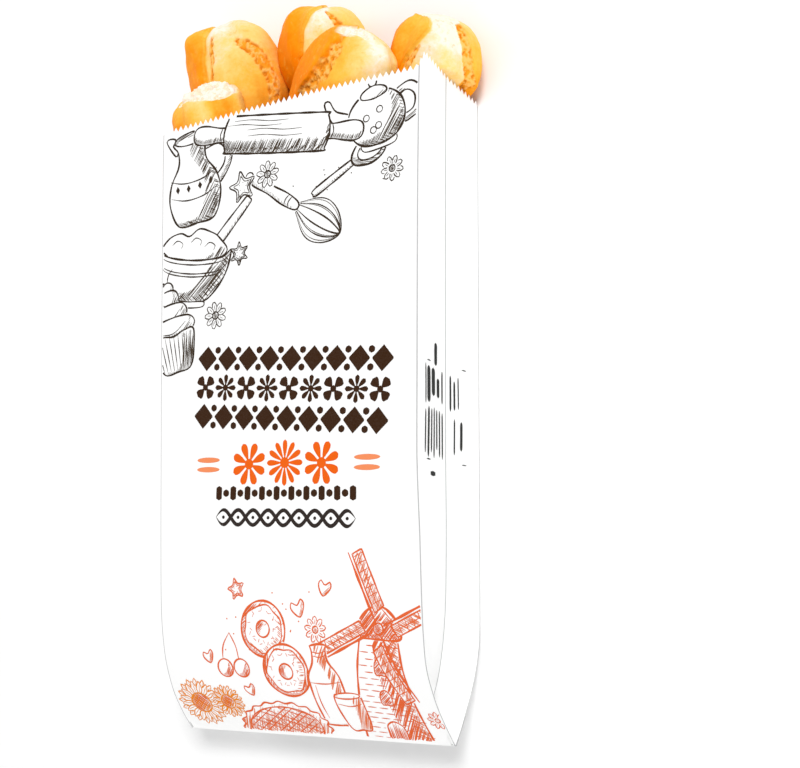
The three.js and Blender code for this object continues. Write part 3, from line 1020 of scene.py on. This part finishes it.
def big_blossoms():
    """Three orange blossoms between bars, over a row of beads and a twisted cord."""
    sketch = Sketch("cocoa", "cocoa")
    blossom(sketch, (0, -17), 14, 12, "carrot")
    for side in (-1, 1):
        blossom(sketch, (side * 28.5, -17.5), 13.5, 8, "carrot", 22.5)
        for y in (-20.6, -14.6):
            sketch.blot((side * 62, y), 19, 3.4, 0, "oval", "salmon")
    for k in range(-9, 10):
        if k % 2:
            sketch.blot((k * 5.8, -35.5), 9, 4.6, kind="bar")
        else:
            sketch.dots([(k * 5.8, -35.5)], 4.8)
    t = np.linspace(-1, 1, 90)
    for side in (-1, 1):
        cord = np.stack([t * 54, -50.5 + side * 4.6 * np.cos(t * math.pi * 4.5)], axis=1)
        width = 2.2 * np.minimum(1, (1 - abs(t)) * 8) + 0.2
        sketch.strokes.append((cord, width, "slate"))
    for k in range(-4, 5):
        sketch.dots([(k * 12, -50.5)], 2.2, "slate")
    return sketch


print("the ornaments take", len(brown_rows().strokes) + len(big_blossoms().strokes), "strokes")

# %% [markdown]
# ## The layout
# The brown drawings fill a triangle that is deep at the left fold and shallow at the right. The orange ones
# do the opposite at the bottom. Some run over a fold and are cut off there, as on a real printed web. The
# front is longer along the paper than along the bag, so places near the pinched bottom are below zero.

# %% Put the drawings in place
ORNAMENTS_AT = (104, 181)
PAPER_RUN = np.concatenate([[0], np.cumsum(np.hypot(np.diff(DISTANCES), np.diff(HEIGHTS["front_right"])))])
PAPER_RUN += BAG_LENGTH - np.interp(BAG_LENGTH, DISTANCES, PAPER_RUN)

front = Sketch(*BROWN)
front.add(spoon(), (146, 341), -62, 1.0)
front.add(whisk(), (110, 325), -124, 1.2)
front.add(teapot(), (170, 372), 8, 1.0)
front.add(jug(), (27, 357), 6, 1.08)
front.add(rolling_pin(), (94, 375), -9)
front.add(bowl(), (27, 296), -8)
front.add(cupcake(), (11, 252), 10, 1.05)
front.add(star_biscuit(size=11), (68, 344), 12)
front.add(daisy(size=9), (88, 349), 0)
front.add(daisy(size=8), (182, 336), 20)
front.add(star_biscuit(size=8, points=6), (66, 300), 0)
front.add(daisy(size=9), (47, 262), 10)
front.add(windmill(), (168, 45), -4)
front.add(doughnut(17), (84, 64), 0)
front.add(doughnut(17), (98, 38), 40)
front.add(milk(), (126, 28), 3, 0.95)
front.add(pie(), (82, -6), 8)
front.add(cherries(), (56, 42), 10)
front.add(sunflower(), (21, 12), 0)
front.add(sunflower(12, 13), (44, 14), 10)
for x, y, size in ((66, 24, 4), (112, 76, 5), (132, 88, 4.5), (38, 46, 4)):
    front.add(heart(size), (x, y), chance.uniform(-25, 25))
front.add(daisy(ORANGE, size=8), (124, 64), 0)
front.add(daisy(ORANGE, size=6.5), (196, 8), 0)
front.add(star_biscuit(ORANGE, size=7), (64, 88), 15)
front.dots([(chance.uniform(95, 190), chance.uniform(330, 345)) for _ in range(14)], 0.9, "umber")
front.dots([(chance.uniform(50, 125), chance.uniform(40, 90)) for _ in range(16)], 1.0, "apricot")
front.add(brown_rows(), ORNAMENTS_AT, -5.5)
front.add(big_blossoms(), ORNAMENTS_AT, -2.5)
share = np.linspace(0, 1, 60)
cut = cut_height(FRONT, share, 0 * share) - 0.4
foot = PAPER_RUN[0] + 1.5
edge = np.vstack([[(1.0, foot)], np.stack([1.0 + 198 * share, cut], axis=1), [(199.0, foot)]])
front.keep(edge, True)
print("the front has", len(front.strokes), "strokes")

# %% [markdown]
# ## Ink on paper
# All strokes of one ink become one curve object. Its bevel gives every stroke a diamond section as wide as
# the stroke. The curves are turned into meshes, pressed almost flat, and laid on the bag's wall.

# %% Lay the strokes on the paper
INKS = {
    "brown": (0.030, 0.017, 0.008), "umber": (0.056, 0.037, 0.021), "cocoa": (0.036, 0.011, 0.001),
    "slate": (0.024, 0.016, 0.013), "flame": (0.70, 0.115, 0.028), "apricot": (0.72, 0.17, 0.065),
    "amber": (0.76, 0.23, 0.015), "carrot": (0.78, 0.110, 0.0), "salmon": (0.82, 0.25, 0.10),
    "grey": (0.028, 0.028, 0.028),
}
INK_LIFT = 0.12
INK_THICKNESS = 0.04


def ink_material(name, colour):
    """Printing ink: matt, and thinner where the paper's fibres show through."""
    recipe = Recipe("ink_" + name)
    worn = recipe.noise(1500, detail=3).between(0.35, 0.75) * 0.015
    thin = recipe.mix(worn, colour, (0.9, 0.88, 0.86))
    recipe.surface.inputs["Specular IOR Level"].default_value = 0.1
    return recipe.finish(Base_Color=thin, Roughness=0.8 + worn)


def ink_piece(name, strokes, wall, wide):
    """A mesh of some strokes, laid on a wall of the bag that is so many millimetres wide."""
    deselect_all()
    bpy.ops.curve.primitive_bezier_curve_add()
    piece = bpy.context.object
    piece.name = name
    drawing = piece.data
    drawing.splines.clear()
    drawing.dimensions = "3D"
    drawing.twist_mode = "Z_UP"
    drawing.bevel_depth = MM / 2
    drawing.bevel_resolution = 0
    drawing.use_fill_caps = True
    for line, width, _ in strokes:
        spline = drawing.splines.new("POLY")
        spline.points.add(len(line) - 1)
        width = np.broadcast_to(width, len(line))
        flat_line = np.stack([line[:, 0] * MM, line[:, 1] * MM, 0 * width, 0 * width + 1], axis=1)
        spline.points.foreach_set("co", flat_line.ravel())
        spline.points.foreach_set("radius", width)
    piece.select_set(True)
    bpy.ops.object.convert(target="MESH")
    bpy.ops.object.shade_flat()
    flat = points_of(piece) / MM
    # The upper points of a stroke become its top and the lower ones its underside.
    lift = INK_LIFT + INK_THICKNESS * np.clip(flat[:, 2] / 0.05, -1, 1)
    along = np.interp(flat[:, 1], PAPER_RUN, DISTANCES) if wall == FRONT else flat[:, 1]
    move_points(piece, on_wall(wall, flat[:, 0] / wide, along, lift))
    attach(piece, "root")
    print(name, "has", len(piece.data.polygons), "faces")
    return piece


for ink, colour in INKS.items():
    strokes = [stroke for stroke in front.strokes if stroke[2] == ink]
    if strokes:
        printed = ink_piece("print_" + ink, strokes, FRONT, PANEL_WIDTH)
        printed.data.materials.append(ink_material(ink, colour))

# %% [markdown]
# The right gusset carries a few plain grey bars. They are blots on the two halves of the fold, laid on the
# paper in the same way as the print on the front.

# %% Small marks on the right gusset
grey_ink = ink_material("grey", INKS["grey"])
for wall, blocks in (
        (RIGHT_FRONT, ((14, 206, 22, 4.4), (20.5, 208, 17, 4.8), (27, 205, 12, 3.4), (32, 206, 20, 1.6),
                       (10, 206, 24, 1.2), (10, 178, 26, 1.4), (14, 178, 30, 2.4), (18, 179, 26, 1.6),
                       (21.5, 178, 30, 1.6), (25, 180, 24, 1.6), (28.5, 178, 28, 1.6), (32, 177, 28, 1.6),
                       (24, 225, 14, 3.6), (20, 154, 3, 6))),
        (RIGHT_BACK, ((5, 204, 22, 1.8), (9, 203, 18, 1.8), (13, 205, 20, 1.2), (9, 178, 22, 1.4),
                      (16, 179, 18, 2.6)))):
    marks = Sketch("grey", "grey")
    for across, along, length, width in blocks:
        marks.blot((across, along), length, width, kind="bar")
    start = 12 if wall == RIGHT_FRONT else 17
    for along in (162, 220):
        marks.pen([(start, along), (start + 5, along)], 0.5, curved=False)
    bars = ink_piece("marks_%d" % wall, marks.strokes, wall, HALF_GUSSET)
    bars.data.materials.append(grey_ink)

# %% [markdown]
# ## Bread rolls
# A crusty roll splits along its top in the oven. The smooth flanks turn orange and end in a raised lip, the
# dough that swells up between them stays pale, and the torn strips are rough and full of small holes. Each
# roll starts as a copy of its solid, which already has the right form. A voxel remesh turns its long
# triangles into an even fine skin, and a few rounds of smoothing take the facets away.
#
# A roll's place is its widest spot, counted from the bag's left edge and mouth. It leans along a direction
# and reaches from there to its lower end, its upper end, either side, its split face and its base.
#
# Where things are on a roll is told by two numbers: the share of its length, from -1 at the lower end to 1
# at the upper end, and the angle round it, with 0 straight up. The lip is a line of such pairs. A tear gives
# two angles for each share, its left and its right border. Broken crumb is bare above a share that is given
# for each angle. The tones run from 0, orange, to 1, cream: -1 to 0 is the left flank, 0 to 1 is the middle
# between the lip and the last tear, and 1 to 2 is the right flank. Besides the crust's own colour they hold
# painted light and shade: each left flank is set a deeper orange, as painted shade, and each right flank
# paler, as painted light. A dent has a share, an angle, a reach and a push out, both in millimetres.
# Smoothing is the number of rounds that a roll's skin is smoothed.

# %% Measures of the rolls
ROLLS = {
    "roll_front_left": {
        "at": (23, 8, 57), "lean": (-0.36, 1, 0.1), "reach": (47, 24, 29, 18, 19), "smoothing": 90,
        "lip": ((-1, -170), (1, -170)),
        "tears": (((-1, 172, 172), (1, 172, 172)),),
        "crumb": ((-70, 1.2), (-40, 0.72), (-20, 0.5), (-4, 0.42), (15, 0.19), (31, 0.02), (45, -0.02),
                  (84, 0.12), (100, 0.6), (115, 1.2)),
        "tones": ((-1, 0.25), (0.32, 0.25), (0.38, 0.34), (0.47, 0.66), (0.54, 0.95), (0.59, 0.5),
                  (0.66, 0.45), (0.72, 0.8), (1, 0.6), (2, 0.5)),
        "dents": ((0.64, -42, 8, -4), (0.6, -12, 3.5, 3)),
    },
    "roll_left": {
        "at": (25.5, 39, 27.5), "lean": (-0.37, 1, 0), "reach": (47, 56, 37, 27, 26),
        "lip": ((-1, -34), (0, -22), (0.3, -17), (0.62, -7), (0.8, -2)),
        "tears": (((-0.4, -16, -16), (0.04, -11, -3), (0.4, -1, 7), (0.56, 3, 8), (0.6, 6, 6)),
                  ((-1, 60, 80), (-0.35, 57, 76), (0.05, 47, 68), (0.29, 35, 51), (0.38, 32, 43),
                   (0.44, 35, 35))),
        "tones": ((-1, 0.1), (-0.01, 0.22), (0, 0.76), (0.25, 0.76), (0.6, 0.84), (1, 0.74), (1.5, 0.66),
                  (2, 0.35)),
        "dents": ((0.88, 15, 14, -4.5), (0.5, 72, 12, 3), (0.74, -26, 8, 4)),
    },
    "roll_back_centre": {
        "at": (89.5, 57, 17), "lean": (0.12, 1, 0), "reach": (38, 31.5, 33, 30, 15.5),
        "lip": ((-1, 5), (0, 3), (0.3, 7.5), (0.6, 12.5), (0.85, 22)),
        "tears": (((-1, 60, 74), (0, 52, 66), (0.3, 43, 55), (0.45, 37, 49), (0.58, 30, 39),
                   (0.65, 32, 32)),),
        "tones": ((-1, 0.08), (-0.5, 0.12), (-0.01, 0.36), (0, 0.85), (0.3, 1), (1, 0.9), (1.1, 0.6),
                  (2, 0.5)),
        "dents": ((0.85, 15, 12, -3),),
    },
    "roll_front_centre": {
        "at": (123, 0, 47.5), "lean": (0.62, 1, 0.35), "reach": (60, 51, 40, 20, 21), "smoothing": 40,
        "lip": ((-1, -60), (0.1, -24), (0.36, -15), (0.57, -7.5), (0.81, -2), (1, 0)),
        "tears": (((-1, -60, -44), (0.1, -24, -6), (0.36, -15, 3), (0.57, -7, 9), (0.76, -3, 11),
                   (0.9, 3, 3)),
                  ((-1, 104, 104), (1, 104, 104))),
        "crumb": ((-90, 1.1), (-60, 0.92), (-20, 0.87), (10, 0.88), (50, 0.93), (85, 1.1)),
        "tones": ((-1, 0.02), (-0.01, 0.08), (0, 0.34), (0.22, 0.38), (0.42, 0.62), (0.56, 0.8), (0.7, 0.74),
                  (1, 0.6), (2, 0.3)),
    },
    "roll_right": {
        "at": (177.5, 17, 14.5), "lean": (0.34, 1, 0), "reach": (42, 39.5, 32, 37, 13),
        "lip": ((-1, -20), (-0.06, -3), (0.12, 3), (0.3, 9.5), (0.53, 17), (0.66, 14), (0.75, 6),
                (0.82, -25), (0.9, -70)),
        "tears": (((-1, -16, -3), (-0.06, -1, 10), (0.12, 4, 15), (0.22, 9, 16), (0.3, 13, 13)),
                  ((-1, 82, 100), (-0.1, 76, 92), (0.21, 66, 80), (0.47, 60, 72), (0.66, 51, 66),
                   (0.8, 46, 60), (0.86, 55, 55))),
        "tones": ((-1, 0.1), (-0.3, 0.3), (-0.01, 0.36), (0, 0.9), (0.3, 0.95), (1, 0.95), (1.02, 0.5),
                  (2, 0.35)),
    },
}
SKIN_SIZE = 0.8


def skin_of(name):
    """A fine even skin over a roll's solid."""
    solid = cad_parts[name]
    piece = bpy.data.objects.new("bread_" + name, solid.data.copy())
    bpy.context.collection.objects.link(piece)
    edit(piece)
    bpy.ops.mesh.select_all(action="SELECT")
    bpy.ops.mesh.remove_doubles(threshold=0.005 * MM)
    bpy.ops.object.mode_set(mode="OBJECT")
    apply_modifier(piece, "REMESH", mode="VOXEL", voxel_size=SKIN_SIZE * MM)
    apply_modifier(piece, "SMOOTH", factor=0.5, iterations=ROLLS[name].get("smoothing", 8))
    return piece


# %% [markdown]
# Every point of the skin gets its share and its angle. From these come its distances to the lines that are
# given above. A little noise is added to the distances, so that no border is drawn with a ruler.

# %% Where a point is on its roll
def roll_axes(spec):
    """The roll's own directions: across it, along it, and out of its split side."""
    along = Vector(spec["lean"]).normalized()
    out = (Vector((0, 0, 1)) - along * along.z).normalized()
    return [np.array(axis) for axis in (along.cross(out), along, out)]


def places_on_roll(piece, spec):
    """For every point: share along the roll, angle round it in degrees, distance from the middle line."""
    across, along, out = roll_axes(spec)
    middle = np.array(in_scene(spec["at"][0], spec["at"][1] + BAG_LENGTH, spec["at"][2]))
    from_middle = (points_of(piece) - middle) / MM
    lower, upper, width, top, base = spec["reach"]
    y = from_middle @ along
    x, z = from_middle @ across, from_middle @ out
    share = y / np.where(y < 0, lower, upper)
    angle = np.degrees(np.arctan2(x / width, z / np.where(z < 0, base, top)))
    return share, angle, np.hypot(x, z)


def cloudy(piece, size, octaves=1):
    """Noise from -1 to 1 at every point, its lumps about size millimetres wide."""
    places = points_of(piece) / (size * MM)
    return np.array([noise.fractal(Vector(place), 0.6, 2.1, octaves) for place in places])


def on_line(line, share, column=1):
    """The value of a line of (share, value, ...) rows at every share."""
    rows = np.array(line, dtype=float)
    return np.interp(share, rows[:, 0], rows[:, column])


# %% [markdown]
# The masks say where the tears, their holes and the bare crumb are, how far a point is from the lip, and how
# pale the crust is. Crust that is higher up in the picture had more light and is paler, so the tone also
# rises along the roll.

# %% Masks on a roll
def masks_of(spec, piece):
    """The named masks of a roll, one number for every point."""
    share, angle, radius = places_on_roll(piece, spec)
    wobble = 1.5 * cloudy(piece, 8) + 0.8 * cloudy(piece, 2.4)
    grit = 0.5 + 0.6 * cloudy(piece, 3.2, octaves=3)
    around = np.radians(1) * radius
    from_lip = (angle - on_line(spec["lip"], share)) * around + 0.25 * wobble
    tear, holes = np.zeros_like(share), np.zeros_like(share)
    for borders in spec["tears"]:
        left = (angle - on_line(borders, share, 1)) * around + wobble
        right = (on_line(borders, share, 2) - angle) * around + wobble
        inside = np.minimum(left, right)
        closed = on_line(borders, share, 2) - on_line(borders, share, 1) < 1
        tear = np.maximum(tear, np.clip(inside / 0.9, 0, 1) * ~closed)
        holes = np.maximum(holes, np.exp(-((inside - 1.3) / 0.9) ** 2) * ~closed)
    crumb = np.zeros_like(share)
    if "crumb" in spec:
        crumb = np.clip((share - on_line(spec["crumb"], angle)) * 25 + 0.5 * wobble, 0, 1)
    lip = on_line(spec["lip"], share)
    last = on_line(spec["tears"][-1], share, 1)
    middle = np.clip((angle - lip) / np.maximum(last - lip, 1), 0, 1)
    zone = np.where(from_lip < 0, np.clip(from_lip / around / 70, -1, -0.01), middle)
    zone = np.where(angle > last, 1 + np.clip((angle - last) / 80, 0.02, 1), zone)
    # Painted shade: the tone drops in the crease beside the lip, so the crust there turns a darker orange.
    lip_crease_shade = 0.45 * np.exp(-(((from_lip - 0.8) / 1.3) ** 2)) * (from_lip > 0)
    rise = 0.42 * (share - 0.35)
    # The tone tables carry painted shade on the left flanks and painted light on the right ones; the rise is
    # painted light, paler higher up.
    tone = on_line(spec["tones"], zone) + rise + 0.12 * cloudy(piece, 14, octaves=2) - lip_crease_shade
    return {
        "tone": np.clip(tone, 0, 1),
        "tear": tear,
        "holes": holes * np.clip((0.5 - grit) * 5, 0, 1),
        "crumb": crumb,
        "grit": np.clip(grit, 0, 1),
        "from_lip": from_lip,
    }


# %% [markdown]
# The masks also raise and sink the skin: the lip stands up over the dough beside it, the tears are ragged
# troughs with holes, the crumb is lumpy, and the whole crust is a little blistered.

# %% Relief on a roll
def dents_of(spec, piece):
    """How far a roll's own dents and bulges move every point: (share, angle, reach, push) each."""
    share, angle, radius = places_on_roll(piece, spec)
    moved = np.zeros_like(share)
    for at_share, at_angle, reach, push_out in spec.get("dents", ()):
        along = (share - at_share) * spec["reach"][1]
        around = np.radians(angle - at_angle) * radius
        moved += push_out * np.exp(-(along ** 2 + around ** 2) / reach ** 2)
    return moved


def relief_of(piece, masks):
    """How far every point moves out of the skin, in millimetres."""
    from_lip = masks["from_lip"]
    raised = 1.1 * np.exp(-((from_lip / 4) ** 2))
    sunk = -0.8 * np.exp(-((from_lip / 2.6) ** 2))
    lip = np.where(from_lip < 0, raised, sunk)
    trough = masks["tear"] * (1.7 * masks["grit"] - 1.4)
    lumps = masks["crumb"] * (1.8 * cloudy(piece, 5, octaves=3) - 1.8)
    blisters = 0.35 * cloudy(piece, 9, octaves=2)
    return (1 - masks["crumb"]) * (lip + trough - 0.6 * masks["holes"]) + lumps + blisters


def bake_roll(name):
    """One finished roll."""
    spec = ROLLS[name]
    piece = skin_of(name)
    masks = masks_of(spec, piece)
    normals = np.empty(len(piece.data.vertices) * 3)
    piece.data.vertex_normals.foreach_get("vector", normals)
    height = (relief_of(piece, masks) + dents_of(spec, piece))[:, None]
    move_points(piece, points_of(piece) + normals.reshape(-1, 3) * height * MM)
    for mask, values in masks.items():
        attribute = piece.data.attributes.new(mask, "FLOAT", "POINT")
        attribute.data.foreach_set("value", values.astype(np.float32))
    bpy.ops.object.shade_smooth()
    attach(piece, "root")
    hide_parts(name)
    print(piece.name, "has", len(piece.data.polygons), "faces")
    return piece


loaves = [bake_roll(name) for name in ROLLS]

# %% [markdown]
# ## Crust
# The stored tone picks the colour, from deep orange on the flanks to cream on the dough between them, with
# the painted light and shade that the tone carries. In the tears the ridges are pale and the hollows orange,
# with dark holes of painted shade, and the crumb is nearly white.

# %% Crust material
TONES = (
    (0.0, (0.90, 0.22, 0.0)), (0.2, (0.95, 0.31, 0.005)), (0.5, (0.98, 0.50, 0.06)),
    (0.75, (0.98, 0.64, 0.21)), (0.9, (0.98, 0.73, 0.44)), (1.0, (0.98, 0.82, 0.70)),
)
RIDGE = (0.98, 0.52, 0.13)
HOLLOW = (0.95, 0.35, 0.02)
# Painted shade: the dark colour for the insides of the holes.
HOLE_SHADE = (0.68, 0.20, 0.01)
CRUMB = (0.97, 0.87, 0.76)
CRUMB_SHADE = (0.97, 0.76, 0.55)

crust = Recipe("golden_crust")
tone, tear, holes = crust.stored("tone"), crust.stored("tear"), crust.stored("holes")
crumb, grit = crust.stored("crumb"), crust.stored("grit")
freckles = crust.noise(420, detail=4, roughness=0.6)
mottled = tone + (freckles - 0.5) * 0.3
skin = crust.node("ShaderNodeValToRGB", {"stops": TONES}, {0: mottled.limited()})
spotted = crust.mix(crust.noise(230, detail=3).between(0.6, 0.68) * 0.35, skin, (0.92, 0.45, 0.06))
torn = crust.mix((grit + (freckles - 0.5) * 0.6).between(0.3, 0.75), HOLLOW, RIDGE)
rough_skin = crust.mix(tear, spotted, torn)
# Painted shade: the holes are coloured dark, as the shade that falls into them.
holes_shaded = crust.mix(holes, rough_skin, HOLE_SHADE)
inside_bread = crust.mix((grit + freckles - 0.5).between(0.3, 0.6), CRUMB_SHADE, CRUMB)
broken = crust.mix(crumb, holes_shaded, inside_bread)
crust_finish = crust.finish(
    bump=freckles, bump_height=0.2, Base_Color=broken, Roughness=0.5 + crumb * 0.4 + freckles * 0.1)
crust.surface.inputs["Specular IOR Level"].default_value = 0.04
for loaf in loaves:
    loaf.data.materials.clear()
    loaf.data.materials.append(crust_finish)
print("golden crust has", len(crust.tree.nodes), "nodes")
